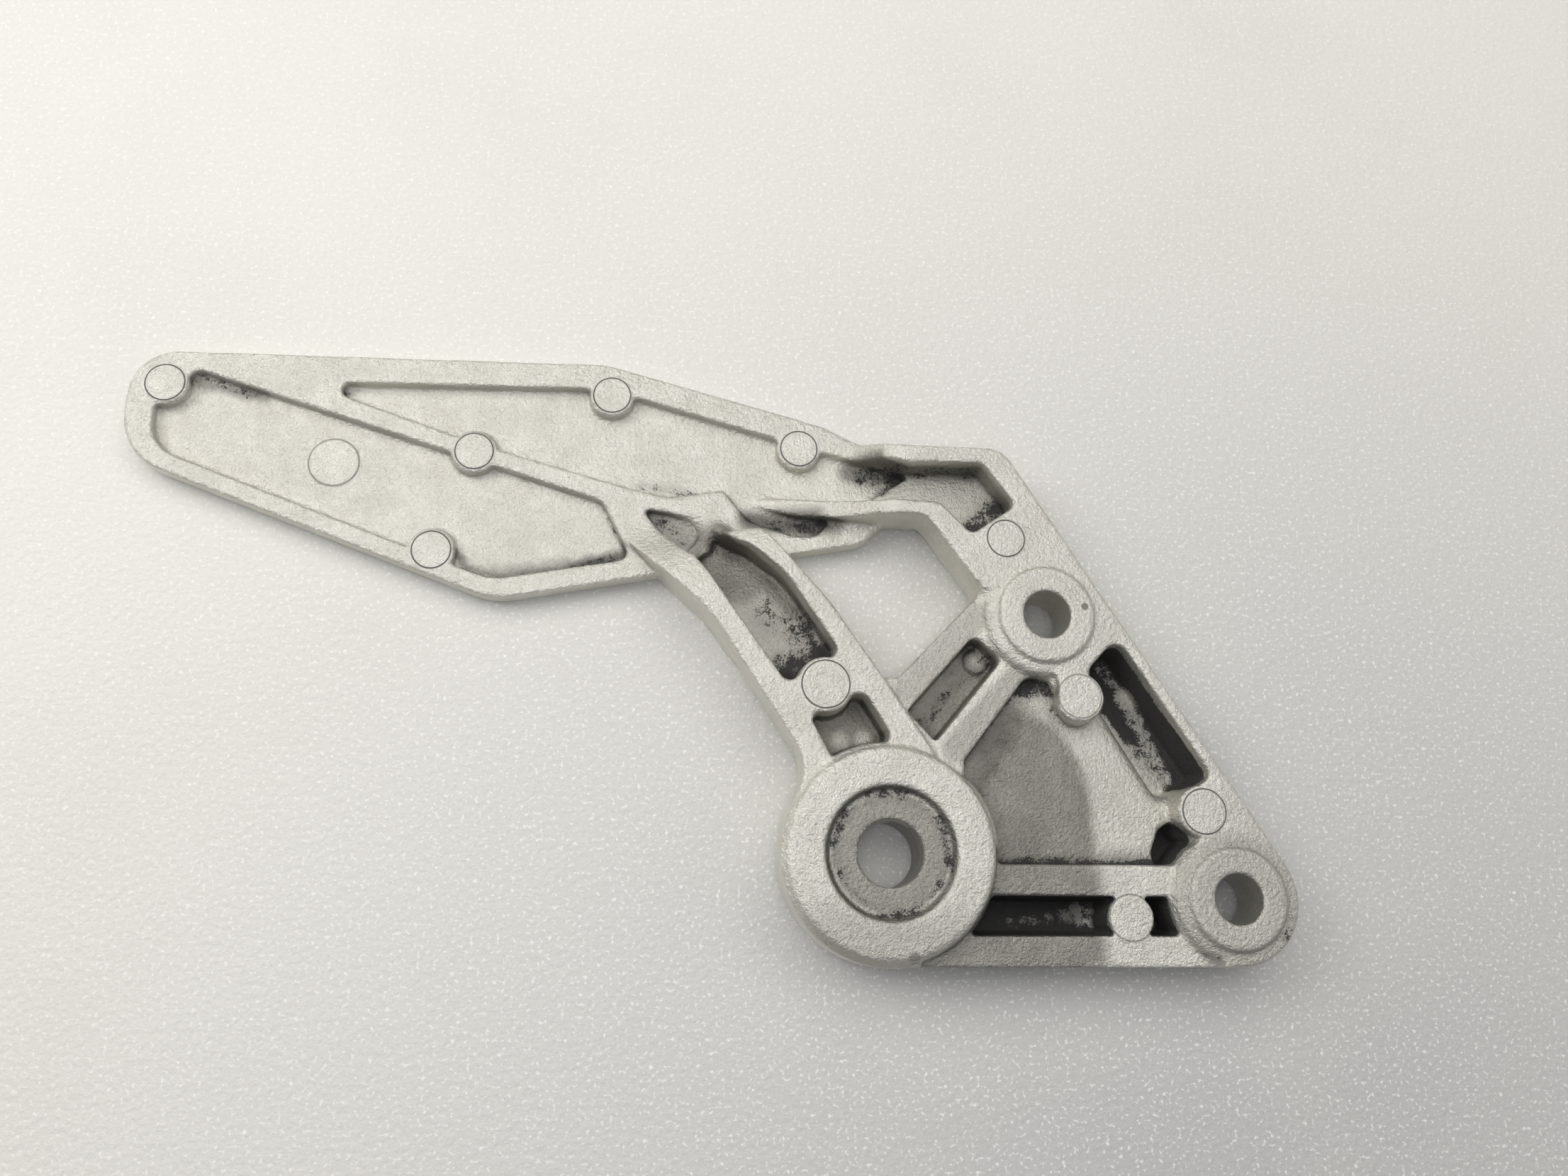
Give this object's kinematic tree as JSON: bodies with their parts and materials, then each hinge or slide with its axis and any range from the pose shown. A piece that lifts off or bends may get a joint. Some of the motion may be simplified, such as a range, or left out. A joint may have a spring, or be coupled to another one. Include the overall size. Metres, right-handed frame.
{
  "type": "footrest hanger",
  "caption": "Motorcycle footrest hanger cast in aluminium, with a large footpeg boss, bolt bosses, ribbed arms round an open window and a thin heel guard plate.",
  "frame": {"origin": "on the axis of the footpeg bore, level with the flat outer face", "axes": "+X along the straight bottom edge, away from the heel guard; +Y up to the heel guard's upper edge; +Z out of the flat outer face, towards the ribbed inner side"},
  "size_m": [0.2175, 0.114, 0.014],
  "materials": {
    "cast_aluminium": "blasted satin casting"
  },
  "bodies": {
    "root": {"hanger": "cast_aluminium"}
  },
  "joints": []
}
